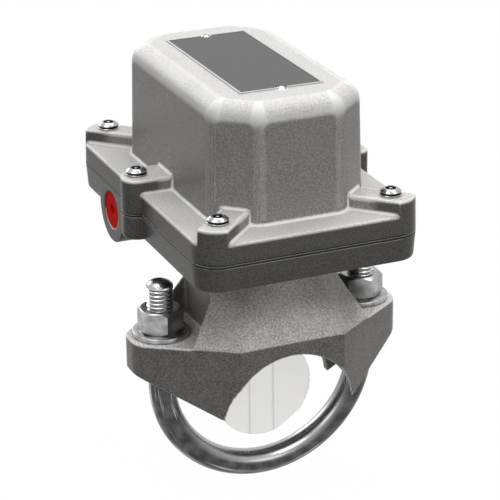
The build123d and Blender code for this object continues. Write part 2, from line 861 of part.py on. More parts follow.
def make_mechanism_bracket():
    floor = block(
        (-bracket_floor_half_x, bracket_floor_half_x), bracket_floor_y, (post_top_z, bracket_floor_top_z)
    )
    bracket = floor
    for side in (-1, 1):
        x_range = sorted((side * side_plate_x, side * (side_plate_x + sheet)))
        wall = block(x_range, side_plate_y, (post_top_z, side_plate_top_z))
        for z in switch_screw_z:
            hole = switch_screw_radius + thread_gap
            wall = wall - rod_x(hole, x_range[0], x_range[1], switch_screw_y, z)
        bracket = bracket + wall
    rear = block(
        (-side_plate_x, side_plate_x), (rear_plate_y, rear_plate_y + sheet), (post_top_z, rear_plate_top_z)
    )
    for side in (-1, 1):
        hole = delay_screw_radius + thread_gap
        rear = rear - rod_y(hole, rear_plate_y, rear_plate_y + sheet, side * delay_screw_x, delay_z)
        for y in post_y:
            hole = bracket_screw_radius + thread_gap
            bracket = bracket - disc(hole, post_top_z, bracket_floor_top_z, side * post_x, y)
    return bracket + rear


def make_bracket_screws():
    screws = None
    for side in (-1, 1):
        for y in post_y:
            screw = pan_screw(
                bracket_screw_radius,
                bracket_screw_head_radius,
                bracket_screw_head_height,
                bracket_screw_reach,
            )
            screw = Pos(side * post_x, y, bracket_floor_top_z) * screw
            screws = screw if screws is None else screws + screw
    return screws


def make_delay_body():
    body = rod_y(delay_radius, delay_front_y, delay_back_y, 0, delay_z)
    boss = disc(dial_boss_radius, delay_z, dial_boss_top_z, 0, dial_y)
    body = body + boss
    body = body - rod_y(delay_radius - delay_wall, delay_front_y + delay_wall, delay_back_y, 0, delay_z)
    body = body - rod_y(plunger_radius + running_gap, delay_front_y, delay_back_y, 0, delay_z)
    return body - disc(dial_spindle_radius + running_gap, delay_z, dial_boss_top_z, 0, dial_y)


def make_delay_cap():
    cap = rod_y(delay_radius, delay_back_y, delay_back_y + delay_cap_thickness, 0, delay_z)
    for side in (-1, 1):
        hole = delay_screw_radius + thread_gap
        end = delay_back_y + delay_cap_thickness
        cap = cap - rod_y(hole, delay_back_y + delay_cap_thickness / 3, end, side * delay_screw_x, delay_z)
    return cap


def make_delay_screws():
    screws = None
    seat = rear_plate_y + sheet
    for side in (-1, 1):
        screw = pan_screw(
            delay_screw_radius, 2 * delay_screw_radius, delay_screw_radius, delay_cap_thickness
        )
        screw = along_y(side * delay_screw_x, seat, delay_z) * screw
        screws = screw if screws is None else screws + screw
    return screws


def make_delay_dial():
    spindle_bottom = delay_z + delay_radius - delay_wall + slack
    dial_top = dial_bottom_z + dial_thickness
    dial = disc(dial_radius, dial_bottom_z, dial_top, 0, dial_y)
    knob = disc(knob_radius, dial_top, dial_top + knob_height, 0, dial_y)
    for groove in range(knob_grooves):
        angle = 2 * math.pi * groove / knob_grooves
        x = knob_radius * math.cos(angle)
        y = dial_y + knob_radius * math.sin(angle)
        knob = knob - disc(knob_groove_radius, dial_top, dial_top + knob_height, x, y)
    pointer = block(
        (-pointer_width / 2, pointer_width / 2),
        (dial_y - dial_radius + slack, dial_y),
        (dial_top, dial_top + pointer_width),
    )
    spindle = disc(dial_spindle_radius, spindle_bottom, dial_bottom_z, 0, dial_y)
    return dial + knob + pointer + spindle


def make_plunger():
    tip = plunger_tip_y + plunger_radius
    rod = rod_y(plunger_radius, tip, piston_front_y, 0, delay_z)
    rod = rod + Pos(0, tip, delay_z) * Sphere(plunger_radius)
    piston_radius = delay_radius - delay_wall - running_gap
    back = piston_front_y + piston_thickness
    return rod + rod_y(piston_radius, piston_front_y, back, 0, delay_z)


def make_delay_spring():
    start = piston_front_y + piston_thickness + spring_wire / 2
    length = delay_back_y - spring_wire / 2 - start
    spring = coil_spring(delay_spring_radius, length, delay_spring_turns)
    return Location((0, start, delay_z), (-quarter_turn, 0, 0)) * spring


def make_trip_bar():
    bar = block(
        (-trip_bar_half_x, trip_bar_half_x), trip_bar_y, (delay_z - trip_bar_half_z, delay_z + trip_bar_half_z)
    )
    bar = fillet(bar.edges().filter_by(Axis.Y), switch_corner)
    return bar - rod_y(plunger_radius, trip_bar_y[0], trip_bar_y[1], 0, delay_z)


def switch_x_range(side):
    return sorted((side * switch_inner_x, side * (switch_inner_x + switch_width)))


def button_block(side, gap, start, end):
    middle = side * (switch_inner_x + switch_width / 2)
    return block(
        (middle - button_half_x - gap, middle + button_half_x + gap),
        (start, end),
        (delay_z - button_half_z - gap, delay_z + button_half_z + gap),
    )


def make_switch(side):
    body = block(
        switch_x_range(side),
        (switch_front_y, switch_back_y),
        (switch_bottom_z, switch_bottom_z + switch_height),
    )
    body = fillet(body.edges().filter_by(Axis.X), switch_corner)
    for z in switch_screw_z:
        hole = switch_screw_radius + thread_gap
        x_range = switch_x_range(side)
        body = body - rod_x(hole, x_range[0], x_range[1], switch_screw_y, z)
    end = button_tip_y + button_depth + slack
    return body - button_block(side, running_gap, switch_front_y, end)


def make_button(side):
    return button_block(side, 0, button_tip_y, button_tip_y + button_depth)


def make_terminals():
    terminals = None
    for side in (-1, 1):
        middle = side * (switch_inner_x + switch_width / 2)
        for z in terminal_z:
            piece = block(
                (middle - terminal_half_x, middle + terminal_half_x),
                (switch_back_y, switch_back_y + terminal_depth),
                (z - terminal_half_z, z + terminal_half_z),
            )
            hole = terminal_screw_radius + thread_gap
            piece = piece - rod_y(hole, switch_back_y, switch_back_y + terminal_depth, middle, z)
            terminals = piece if terminals is None else terminals + piece
    return terminals


def make_terminal_screws():
    screws = None
    seat = switch_back_y + terminal_depth
    for side in (-1, 1):
        middle = side * (switch_inner_x + switch_width / 2)
        for z in terminal_z:
            screw = pan_screw(
                terminal_screw_radius, terminal_head_radius, terminal_head_height, terminal_depth - slack
            )
            screw = along_y(middle, seat, z) * screw
            screws = screw if screws is None else screws + screw
    return screws


def make_switch_screws():
    screws = None
    seat = switch_inner_x + switch_width
    for side in (-1, 1):
        for z in switch_screw_z:
            shank = rod_x(switch_screw_radius, side * side_plate_x, side * seat, switch_screw_y, z)
            outer = side * (seat + switch_screw_head_height)
            head = rod_x(switch_screw_head_radius, side * seat, outer, switch_screw_y, z)
            screw = shank + head
            screws = screw if screws is None else screws + screw
    return screws


def make_ground_screw():
    seat = floor_top_z + ground_boss_height
    screw = pan_screw(
        ground_screw_radius, ground_head_radius, ground_head_height, ground_boss_height - slack
    )
    return Pos(ground_x, ground_y, seat) * screw


pieces = {
    "cover": make_cover() - rivet_holes(),
    "cover_gasket": make_cover_gasket(),
    "cover_screws": make_cover_screws(),
    "cover_screw_washers": make_cover_washers(),
    "name_plate": make_name_plate(),
    "name_plate_rivets": make_rivets(),
    "base_housing": make_base(),
    "conduit_plug": make_conduit_plug(),
    "ground_screw": make_ground_screw(),
    "saddle": make_saddle(),
    "saddle_screws": make_saddle_screws(),
    "pipe_gasket": make_pipe_gasket(),
    "u_bolt": make_u_bolt(),
    "u_bolt_washers": make_washers(),
    "u_bolt_nuts": make_nuts(),
    "pivot_bracket": make_pivot_bracket(),
    "pivot_pin": make_pivot_pin(),
    "return_spring": make_return_spring(),
    "stem_lever": make_stem_lever(),
    "stem_boot": make_boot(),
    "vane": make_vane(),
    "vane_clamp_plate": make_clamp_plate(),
    "vane_screws": make_vane_screws(),
    "mechanism_bracket": make_mechanism_bracket(),
    "bracket_screws": make_bracket_screws(),
    "delay_body": make_delay_body(),
    "delay_cap": make_delay_cap(),
    "delay_cap_screws": make_delay_screws(),
    "delay_dial": make_delay_dial(),
    "delay_plunger": make_plunger(),
    "delay_spring": make_delay_spring(),
    "trip_bar": make_trip_bar(),
    "left_switch": make_switch(-1),
    "right_switch": make_switch(1),
    "left_switch_button": make_button(-1),
    "right_switch_button": make_button(1),
    "switch_terminals": make_terminals(),
    "terminal_screws": make_terminal_screws(),
    "switch_screws": make_switch_screws(),
}

os.makedirs("parts", exist_ok=True)
for name, shape in pieces.items():
    export_step(shape, f"parts/{name}.step")
    print(name, round(shape.volume, 1))
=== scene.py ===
# %% [markdown]
# Vane flow switch for a two-inch pipe.
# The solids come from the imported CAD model, in metres, with the origin on the pipe's axis under the stem.
# This script gives them their finishes and makes the pieces whose look needs more than a plain solid:
# the castings with their soft edges, the threads, the nuts, the washers and the screw heads.
# The object's sizes are named in millimetres and multiplied by MM, and places in the room are in metres.

import json
import math

import bmesh
import bpy
from mathutils import Matrix, Vector


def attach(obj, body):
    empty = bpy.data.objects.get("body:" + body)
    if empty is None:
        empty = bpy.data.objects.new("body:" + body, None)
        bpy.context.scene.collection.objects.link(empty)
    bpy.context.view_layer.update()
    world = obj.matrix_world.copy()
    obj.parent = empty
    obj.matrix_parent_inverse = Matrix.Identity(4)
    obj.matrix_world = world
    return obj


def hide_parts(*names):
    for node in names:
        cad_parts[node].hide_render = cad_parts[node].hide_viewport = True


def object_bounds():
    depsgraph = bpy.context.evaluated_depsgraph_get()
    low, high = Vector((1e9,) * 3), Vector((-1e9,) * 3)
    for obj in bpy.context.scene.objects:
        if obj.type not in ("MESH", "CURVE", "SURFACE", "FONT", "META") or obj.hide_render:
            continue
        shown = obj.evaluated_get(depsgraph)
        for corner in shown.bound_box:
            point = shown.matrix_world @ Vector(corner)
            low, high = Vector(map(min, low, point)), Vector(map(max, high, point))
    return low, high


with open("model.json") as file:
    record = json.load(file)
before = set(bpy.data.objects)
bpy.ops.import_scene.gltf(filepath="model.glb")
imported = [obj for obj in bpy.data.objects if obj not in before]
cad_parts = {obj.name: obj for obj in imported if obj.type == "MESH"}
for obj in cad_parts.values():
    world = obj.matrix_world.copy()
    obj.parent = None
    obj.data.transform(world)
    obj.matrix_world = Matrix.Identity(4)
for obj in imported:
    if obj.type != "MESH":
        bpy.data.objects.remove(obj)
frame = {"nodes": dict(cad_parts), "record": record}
cad_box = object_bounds()
nodes = frame["nodes"]
MM = 0.001
print("CAD nodes:", len(nodes))

# %% [markdown]
# A material is a graph of small steps. Written as plain expressions it reads like arithmetic, so one small
# class holds a socket and adds the Math or Vector Math node behind each operator. Every other node comes
# from one method, which takes its type, its settings and what goes into its sockets. The last methods are
# what the finishes below are put together from: masks, grains, mixtures and bumps.

# %% A socket that takes arithmetic
class Signal:
    def __init__(self, tree, socket):
        self.tree = tree
        self.socket = socket

    def feed(self, target, value):
        if isinstance(value, Signal):
            self.tree.links.new(value.socket, target)
        elif isinstance(value, (tuple, list)) and target.type == "RGBA":
            target.default_value = tuple(value) + (1.0,) * (4 - len(value))
        else:
            target.default_value = value

    def node(self, kind, settings=None, sockets=None, output=0):
        made = self.tree.nodes.new(kind)
        for name, value in (settings or {}).items():
            setattr(made, name, value)
        for name, value in (sockets or {}).items():
            self.feed(made.inputs[name], value)
        return Signal(self.tree, made.outputs[output])

    def combine(self, operation, first, second):
        vector = any(isinstance(side, Signal) and side.socket.type == "VECTOR" for side in (first, second))
        if vector and operation == "MULTIPLY" and isinstance(second, (int, float)):
            second = (second,) * 3
        kind = "ShaderNodeVectorMath" if vector else "ShaderNodeMath"
        return self.node(kind, {"operation": operation}, {0: first, 1: second})

    def __add__(self, other):
        return self.combine("ADD", self, other)

    def __radd__(self, other):
        return self.combine("ADD", other, self)

    def __sub__(self, other):
        return self.combine("SUBTRACT", self, other)

    def __rsub__(self, other):
        return self.combine("SUBTRACT", other, self)

    def __mul__(self, other):
        return self.combine("MULTIPLY", self, other)

    def __rmul__(self, other):
        return self.combine("MULTIPLY", self, other)

    def magnitude(self):
        return self.node("ShaderNodeMath", {"operation": "ABSOLUTE"}, {0: self})

    def larger(self, other):
        return self.node("ShaderNodeMath", {"operation": "MAXIMUM"}, {0: self, 1: other})

    def smaller(self, other):
        return self.node("ShaderNodeMath", {"operation": "MINIMUM"}, {0: self, 1: other})

    def axis(self, letter):
        # One number of a place or a direction
        return self.node("ShaderNodeSeparateXYZ", None, {"Vector": self}, output=letter)

    def above(self, edge, width):
        # 0 below the edge and 1 above it, with a soft step of the given width
        settings = {"interpolation_type": "SMOOTHSTEP"}
        sockets = {"Value": self, "From Min": edge - width / 2, "From Max": edge + width / 2}
        return self.node("ShaderNodeMapRange", settings, sockets)

    def away_from(self, middle, reach, width):
        # 0 within reach of the middle and 1 further off, on both sides
        return (self - middle).magnitude().above(reach, width)

    def edges(self, level, width):
        # Pointiness is about one half on flat faces, more on outer edges and less in inner corners
        return self.node("ShaderNodeNewGeometry", output="Pointiness").above(level, width)

    def facing_up(self, level, width):
        # 1 on faces that lean up and 0 on upright ones
        return self.node("ShaderNodeNewGeometry", output="Normal").axis("Z").above(level, width)

    def noise(self, size, detail=2.0, stretch=(1.0, 1.0, 1.0)):
        # Grains about size metres across
        place = self * stretch
        return self.node("ShaderNodeTexNoise", None, {"Vector": place, "Scale": 1.0 / size, "Detail": detail})

    def blend(self, low, high):
        # Two colours, with this value as the share of the second. Among the many sockets of a Mix node,
        # the share is number 0, the colours are 6 and 7, and their mixture is output 2
        return self.node("ShaderNodeMix", {"data_type": "RGBA"}, {0: self, 6: low, 7: high}, output=2)

    def bump(self, height, strength):
        # A bump whose full swing of this value is the given height in metres
        return self.node("ShaderNodeBump", None, {"Height": self, "Distance": height, "Strength": strength})


print("shader helpers are ready")

# %% [markdown]
# Every finish starts the same way: a new material with Blender's Principled shader, and the place on the
# piece. Object coordinates stay with the piece when it moves, so the grain doesn't slide over the vane as it
# swings. What is the same all over a surface is set on the shader's own sockets, and what varies is linked.

# %% A new material
finishes = {}


def dress(start, node, **values):
    # Sets or links the sockets of a node, whose names have _ here in place of each space
    for socket, value in values.items():
        start.feed(node.inputs[socket.replace("_", " ")], value)


def material(name, **constants):
    made = bpy.data.materials.new(name)
    made.use_nodes = True
    shader = made.node_tree.nodes["Principled BSDF"]
    place = Signal(made.node_tree, None).node("ShaderNodeTexCoord", output="Object")
    dress(place, shader, **constants)
    finishes[name] = made
    return place, shader


def grey(value, tint=(1.0, 1.0, 1.0)):
    return tuple(value * part for part in tint)


print("material helpers are ready")

# %% [markdown]
# The housing and its cover are die castings, blasted to a fine even grain. The grain scatters light, so the
# skin is a dull grey with little gloss. A picture of cast metal could be laid on it, but a picture blurs
# close up and repeats, while a noise does neither. One fine noise is the grain itself, and a wide one lets
# the tone drift a little.

# %% Grain of the die castings
grain_size = 0.7
drift_size = 18.0
drift_share = 0.3
place, shader = material("cast_body", Specular_IOR_Level=0.12)
grain = place.noise(grain_size * MM, detail=3.0)
drift = place.noise(drift_size * MM, detail=3.0)
speckle = grain.above(edge=0.5, width=0.3)
shade = drift * drift_share + speckle * (1.0 - drift_share)
print("grain of", grain_size, "mm for the die castings")

# %% [markdown]
# The same metal gets three painted tones of light and shade: faces that lean up are painted light, as if lit
# from above, the dome's walls are middling, and the walls of the flange and the base are painted dark, as if
# in shade. Hard lamps could part them, but the light here is plain and soft, so the light and shade are
# painted into the metal's colour instead. It follows the direction of a face and its place: a box round the
# dome, with soft borders, tells the dome's walls from the lower ones.

# %% Painted light and shade on the die castings
housing_y = 20.75
flange_top_z = 103.6
dome_half_x = 45.0
dome_half_y = 72.0
dome_border = 5.0
# Painted shade on the low walls, a middling painted shade on the dome's walls, painted light on open faces
shaded_low_dark = grey(0.08, tint=(1, 0.94, 0.87))
shaded_low_light = grey(0.17, tint=(1, 0.94, 0.88))
half_shaded_dark = grey(0.21, tint=(1, 0.97, 0.92))
half_shaded_light = grey(0.4, tint=(1, 0.97, 0.93))
lit_open_dark = grey(0.42, tint=(1, 0.985, 0.95))
lit_open_light = grey(0.68, tint=(1, 0.985, 0.955))
height = place.axis("Z")
past_x = place.axis("X").magnitude() - dome_half_x * MM
past_y = (place.axis("Y") - housing_y * MM).magnitude() - dome_half_y * MM
outside = past_x.larger(past_y).above(edge=0.0, width=dome_border * MM)
on_dome = (1.0 - outside) * height.above(edge=flange_top_z * MM, width=MM)
walls = on_dome.blend(shade.blend(shaded_low_dark, shaded_low_light), shade.blend(half_shaded_dark, half_shaded_light))
# Faces that lean up take the painted light colours, upright ones the painted shade colours
skin = place.facing_up(level=0.14, width=0.2).blend(walls, shade.blend(lit_open_dark, lit_open_light))
print("three tones: low walls, dome walls and open faces")

# %% [markdown]
# The outer edges, the fillet at the foot of the dome and the dome's wide rounded corners get a painted
# highlight: a bright colour where the real ones would catch the lamps. Pointiness finds them, because it
# tells how sharply the mesh turns at a point. It needs small faces and rounded edges, which the castings get
# further down. The joint between cover and base is a thin dark line of shade and dirt. The gap itself is
# thinner than a pixel, so the line is a mask on the height.

# %% Painted highlights on the edges, and the dark joint
parting_z = 93.45
joint_reach = 0.9
joint_border = 0.4
joint_dirt = grey(0.012)
# The grey of the painted highlights, on the housing and on the saddle
painted_highlight_grey = grey(0.9, tint=(1, 0.995, 0.98))
corner_share = 0.6
flange_margin = 1.0
joint_margin = 2.0
body_rough = 0.24
body_rough_swing = 0.14
above_flange = height.above(edge=(flange_top_z - flange_margin) * MM, width=MM)
above_joint = height.above(edge=(parting_z + joint_margin) * MM, width=MM)
# Painted highlights along the outer edges, the inner fillets and the dome's wide corners
outer_edges = place.edges(level=0.53, width=0.04)
wide_corners = place.edges(level=0.5042, width=0.005) * on_dome * corner_share
fillets = (1.0 - place.edges(level=0.482, width=0.02)) * above_flange
painted_highlights = outer_edges.larger(fillets).larger(wide_corners) * above_joint
off_joint = height.away_from(parting_z * MM, reach=joint_reach * MM, width=joint_border * MM)
color = painted_highlights.blend(off_joint.blend(joint_dirt, skin), painted_highlight_grey)
relief = grain.bump(height=0.06 * MM, strength=0.8)
dress(place, shader, Base_Color=color, Roughness=body_rough + body_rough_swing * grain, Normal=relief)
print("made", finishes["cast_body"].name)

# %% [markdown]
# The saddle comes from a coarser mould: its skin is rougher, with grains that catch the light and small dark
# pits between them. A Voronoi pattern gives the pits and a noise gives the grains. Real dents in the mesh
# would need millions of faces, so both only tilt the surface, through a bump. As on the housing, the sloping
# shoulders are painted light, as if lit from above, the upright walls are painted dark, as if in shade, and
# the edges get a painted highlight.

# %% Saddle casting
saddle_grain_size = 0.8
saddle_patch_size = 6.0
pits_per_metre = 1300.0
fine_share = 0.8
pit_share = 0.5
saddle_rough = 0.26
saddle_rough_swing = 0.14
shaded_side_dark = grey(0.12, tint=(1, 0.94, 0.88))
shaded_side_light = grey(0.28, tint=(1, 0.94, 0.89))
lit_shoulder_dark = grey(0.45, tint=(1, 0.975, 0.935))
lit_shoulder_light = grey(0.94, tint=(1, 0.975, 0.94))
place, shader = material("cast_saddle", Specular_IOR_Level=0.3)
coarse = place.noise(saddle_patch_size * MM, detail=3.0)
rough_skin = place.noise(saddle_grain_size * MM, detail=3.0) * fine_share + coarse * (1.0 - fine_share)
pits = place.node("ShaderNodeTexVoronoi", {"feature": "F1"}, {"Vector": place, "Scale": pits_per_metre})
flecks = rough_skin.above(edge=0.5, width=0.3)
shaded_sides = flecks.blend(shaded_side_dark, shaded_side_light)
lit_shoulders = flecks.blend(lit_shoulder_dark, lit_shoulder_light)
# Painted light on the shoulders that lean up, painted shade on the upright walls
skin = place.facing_up(level=0.18, width=0.2).blend(shaded_sides, lit_shoulders)
# Painted highlight along the saddle's edges
color = place.edges(level=0.535, width=0.04).blend(skin, painted_highlight_grey)
relief = (rough_skin + pit_share * pits).bump(height=0.12 * MM, strength=0.9)
dress(place, shader, Base_Color=color, Roughness=saddle_rough + saddle_rough_swing * coarse, Normal=relief)
print("made", finishes["cast_saddle"].name)

# %% [markdown]
# Bright metals differ mostly in how smooth and how even they are: zinc plate is patchy, sheet steel is even
# and duller, and brass is yellow. One helper makes them all from two greys and a noise of patches. It hands
# back what it made, so that a metal with more to show can go on from there.

# %% Bright metals
def bright_metal(name, dark, light, rough, patch=4.0, uneven=0.5, tint=(1, 1, 1)):
    # dark and light are the greys of the patches, which are about patch millimetres across
    place, shader = material(name, Metallic=1.0)
    patches = place.noise(patch * MM, detail=3.0)
    color = patches.above(edge=0.5, width=uneven).blend(grey(dark, tint), grey(light, tint))
    relief = place.noise(0.4 * MM).bump(height=0.012 * MM, strength=0.5)
    dress(place, shader, Base_Color=color, Roughness=rough + 0.12 * patches, Normal=relief)
    return place, shader, color


bright_metal("zinc_steel", dark=0.2, light=0.5, rough=0.26, patch=5.0, uneven=0.7)
bright_metal("sheet_steel", dark=0.48, light=0.62, rough=0.30, patch=6.0)
bright_metal("brass_parts", dark=0.55, light=0.75, rough=0.22, tint=(1.0, 0.78, 0.42))
print("finishes so far:", sorted(finishes))

# %% [markdown]
# The cover screws are polished, but the groove under each head and the floor of its socket lie in shade, and
# this shade is painted as a dark colour. Both lie in one narrow band of height, the same on all six screws.
# An ambient occlusion node could find such corners by itself, but it is slow and dims places that are clean,
# so a mask on the height paints the shade into the band.

# %% Stainless steel
groove_z = 111.75
groove_reach = 0.5
groove_border = 0.1
painted_groove_shade = grey(0.03)
place, shader, polished = bright_metal("stainless", dark=0.3, light=0.5, rough=0.14, patch=2.0)
# Painted shade in the groove under each head and on the socket's floor
off_groove = place.axis("Z").away_from(groove_z * MM, reach=groove_reach * MM, width=groove_border * MM)
dress(place, shader, Base_Color=off_groove.blend(painted_groove_shade, polished))
print("made", finishes["stainless"].name)

# %% [markdown]
# The U-bolt's rod is drawn before it is bent, which leaves streaks along it. Noise can only be stretched
# along a straight axis, so the places are unrolled first: the distance from the middle of the bend stands in
# for X, and below that middle it keeps its value all the way round the loop. The rod's base is painted far
# darker than zinc and its streaks bright, which paints the dark and bright reflections that run along the
# round rod. The threaded ends are cleaner than the loop, faces that lean up are painted lighter, as if lit
# from above, the crests get a painted highlight, and the bottoms of the thread a painted shade.

# %% Drawn rod, with painted reflections, highlights and shade
loop_centre_z = 13.4
clean_from_z = 40.0
clean_border = 4.0
streak_stretch = 0.05
rod_bright = 0.85
streak_share = 0.6
clean_share = 0.5
painted_thread_shade = grey(0.0075)


def unrolled(place):
    # Places that change quickly across the rod and slowly along it
    height = place.axis("Z") - loop_centre_z * MM
    flat = place.node("ShaderNodeCombineXYZ", None, {"X": place.axis("X"), "Y": height.smaller(0.0)})
    reach = place.node("ShaderNodeVectorMath", {"operation": "LENGTH"}, {0: flat}, output="Value")
    along = height * streak_stretch
    return place.node("ShaderNodeCombineXYZ", None, {"X": reach, "Y": place.axis("Y"), "Z": along})


# The very dark base is painted to stand in for dark reflections along the round rod
place, shader, color = bright_metal("galvanised", dark=0.03, light=0.12, rough=0.2, patch=6.0, uneven=0.7)
# Drawing streaks, whose bright grey also paints the reflections along the rod
streaks_and_reflections = unrolled(place).noise(1.1 * MM, detail=3.0).above(edge=0.64, width=0.14)
color = streaks_and_reflections.blend(color, grey(rod_bright * streak_share))
clean_end = place.axis("Z").above(edge=clean_from_z * MM, width=clean_border * MM)
# Clean threaded ends, and painted light on faces that lean up
clean_ends_and_lit_tops = clean_end.larger(place.facing_up(level=0.45, width=0.7))
color = clean_ends_and_lit_tops.blend(color, grey(rod_bright * clean_share))
# Painted highlight on the thread's crests
color = place.edges(level=0.54, width=0.06).blend(color, grey(rod_bright))
# Painted shade in the bottoms of the thread
color = place.edges(level=0.46, width=0.08).blend(painted_thread_shade, color)
dress(place, shader, Base_Color=color)
print("made", finishes["galvanised"].name)

# %% [markdown]
# The name plate is a bare sheet of satin grey metal with a bright border. Its face gets the fine brushing of
# such a sheet, which is a noise squeezed along the plate. The border could be a frame of its own, but it is
# no thicker than paint, so it is a mask worked out from the plate's size.

# %% Name plate
plate_half_x = 20.4
plate_half_y = 45.3
border = 1.0
border_step = 0.1
border_bright = grey(0.5)
place, shader = material("plate_grey", Metallic=0.1, Specular_IOR_Level=0.25)
rim_x = place.axis("X").magnitude().above(edge=(plate_half_x - border) * MM, width=border_step * MM)
rim_y = place.axis("Y").away_from(housing_y * MM, (plate_half_y - border) * MM, width=border_step * MM)
rim = rim_x.larger(rim_y)
brushed = place.noise(0.6 * MM, stretch=(1.0, 0.04, 1.0))
face = brushed.blend(grey(0.05), grey(0.075, tint=(1.0, 1.01, 1.03)))
relief = brushed.bump(height=0.008 * MM, strength=0.4)
dress(place, shader, Base_Color=rim.blend(face, border_bright), Roughness=0.42 - 0.12 * rim, Normal=relief)
print("made", finishes["plate_grey"].name)

# %% [markdown]
# The plug, the rubber and the switch mouldings are plain: one colour that wavers a little, and the fine skin
# that a mould leaves. The plug's red is deep, and the white room would wash it out if it were glossy, so its
# reflection is turned down.

# %% Plastics and rubber
mould_grain_size = 1.0


def plain(name, dark, light, rough, **constants):
    place, shader = material(name, **constants)
    grain = place.noise(mould_grain_size * MM)
    relief = grain.bump(height=0.02 * MM, strength=0.5)
    dress(place, shader, Base_Color=grain.blend(dark, light), Roughness=rough + 0.1 * grain, Normal=relief)


red_dark = (0.90, 0.006, 0.004)
red_light = (0.97, 0.01, 0.006)
plain("red_plastic", red_dark, red_light, rough=0.5, Specular_IOR_Level=0.03)
plain("gasket_rubber", grey(0.02), grey(0.035), rough=0.6)
plain("black_plastic", grey(0.02), grey(0.03), rough=0.4)
plain("white_plastic", grey(0.66), grey(0.72), rough=0.4)
print("finishes so far:", len(finishes))

# %% [markdown]
# The vane is a thin milky sheet. It lets most light through, and yet it looks pale grey against white, so it
# is mostly transmission with a low index, which hardly bends what is seen behind it. Its two score lines are
# real grooves in the solid, but only 0.3 mm deep, so a painted shade along them makes them show.

# %% Vane
score_middle = -0.75
score_half_gap = 6.25
score_reach = 0.3
score_border = 0.2
place, shader = material("clear_vane", Roughness=0.4, Transmission_Weight=0.85, IOR=1.15)
from_middle = (place.axis("X") - score_middle * MM).magnitude()
off_score = from_middle.away_from(score_half_gap * MM, reach=score_reach * MM, width=score_border * MM)
milk = place.noise(6.0 * MM).blend(grey(0.87, tint=(1, 0.99, 0.97)), grey(0.9, tint=(1, 0.995, 0.98)))
# Painted shade along the two score lines
dress(place, shader, Base_Color=off_score.blend(grey(0.6), milk))
print("made", finishes["clear_vane"].name)

# %% [markdown]
# The gasket between cover and base is pale sheet, but its cut edge holds dirt, and only that edge shows from
# outside. The edge stands upright, so the direction of the face tells it from the flat of the sheet.

# %% Cover gasket
edge_dirt = grey(0.01)
place, shader = material("gasket_light", Roughness=0.65)
fibres = place.noise(1.0 * MM).blend(grey(0.42), grey(0.5))
dress(place, shader, Base_Color=place.facing_up(level=0.5, width=0.2).blend(edge_dirt, fibres))
print("finishes:", len(finishes))

# %% [markdown]
# The record names a finish for each node of the CAD model, so one loop dresses them all. A node that gets a
# finer piece further down is dressed too, and the piece takes the same finish.

# %% Every CAD node takes its finish
slots = {row["node"]: row["material_slot"] for row in frame["record"]["subparts"]}
for name, piece in nodes.items():
    piece.data.materials.clear()
    piece.data.materials.append(finishes[slots[name]])
print("finished nodes:", len(slots))

# %% [markdown]
# A casting has no sharp edge anywhere: the metal rounds each outer corner and fills each inner one. The CAD
# solid is exact but crisp, so its mesh is copied, rebuilt as an even skin of small cells and smoothed. That
# rounds the outer edges and fills the inner corners in one go, and the copy replaces the solid. A bevel
# would be lighter, but it breaks where many edges meet at odd angles, as they do round the lobes.

# %% Castings
def add_to_scene(piece):
    bpy.context.scene.collection.objects.link(piece)


def apply_modifiers(piece):
    # The mesh itself gets the shape
    bpy.context.view_layer.update()
    graph = bpy.context.evaluated_depsgraph_get()
    solved = bpy.data.meshes.new_from_object(piece.evaluated_get(graph))
    piece.modifiers.clear()
    piece.data = solved


def soft_casting(node, name, cell, passes, keep):
    piece = bpy.data.objects.new(name, nodes[node].data.copy())
    add_to_scene(piece)
    remesh = piece.modifiers.new("skin", "REMESH")
    remesh.mode = "VOXEL"
    remesh.voxel_size = cell
    smooth = piece.modifiers.new("soften", "SMOOTH")
    smooth.factor = 0.5
    smooth.iterations = passes
    thin = piece.modifiers.new("thin", "DECIMATE")
    thin.ratio = keep
    apply_modifiers(piece)
    for face in piece.data.polygons:
        face.use_smooth = True
    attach(piece, "root")
    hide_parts(node)
    piece.data.materials.clear()
    piece.data.materials.append(finishes[slots[node]])
    print(name, "faces:", len(piece.data.polygons))


fine_cell = 0.55 * MM
soft_casting("cover", "cover_casting", fine_cell, passes=8, keep=0.5)
soft_casting("base_housing", "base_casting", fine_cell, passes=6, keep=0.5)
soft_casting("saddle", "saddle_casting", fine_cell, passes=5, keep=0.6)

# %% [markdown]
# The other pieces are made point by point. One helper turns points and faces into an object: it welds doubled
# points, makes the faces look outward, and shades the surface smoothly except where two faces meet at a
# larger angle than the given one, so that flats and chamfers stay crisp.

# %% A mesh from points and faces
weld_distance = 1e-7


def mesh_piece(name, points, faces, finish, body, sharp=30.0):
    mesh = bpy.data.meshes.new(name)
    mesh.from_pydata(points, [], faces)
    work = bmesh.new()
    work.from_mesh(mesh)
    bmesh.ops.remove_doubles(work, verts=work.verts, dist=weld_distance)
    bmesh.ops.recalc_face_normals(work, faces=work.faces)
    limit = math.radians(sharp)
    for edge in work.edges:
        edge.smooth = len(edge.link_faces) == 2 and edge.calc_face_angle(0.0) < limit
    for face in work.faces:
        face.smooth = True
    work.to_mesh(mesh)
    work.free()
    mesh.materials.append(finishes[finish])
    piece = bpy.data.objects.new(name, mesh)
    add_to_scene(piece)
    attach(piece, body)
    return piece


print("mesh helper is ready")

# %% [markdown]
# Nuts, washers and screw heads are all turned. The helper goes round the axis in steps, and at each step it
# places a row of points, each with its own radius and height. Where the radius follows a hexagon the piece
# gets flats, and where it stays the same the piece is round. A stack of cylinders would be quicker, but it
# can't hold a chamfer that runs out on a flat.

# %% Turned pieces
def rows_to_faces(steps, count, offset, closed):
    faces = []
    spans = count if closed else count - 1
    for step in range(steps):
        first = offset + step * count
        second = offset + (step + 1) % steps * count
        for row in range(spans):
            after = (row + 1) % count
            faces.append((first + row, second + row, second + after, first + after))
    return faces


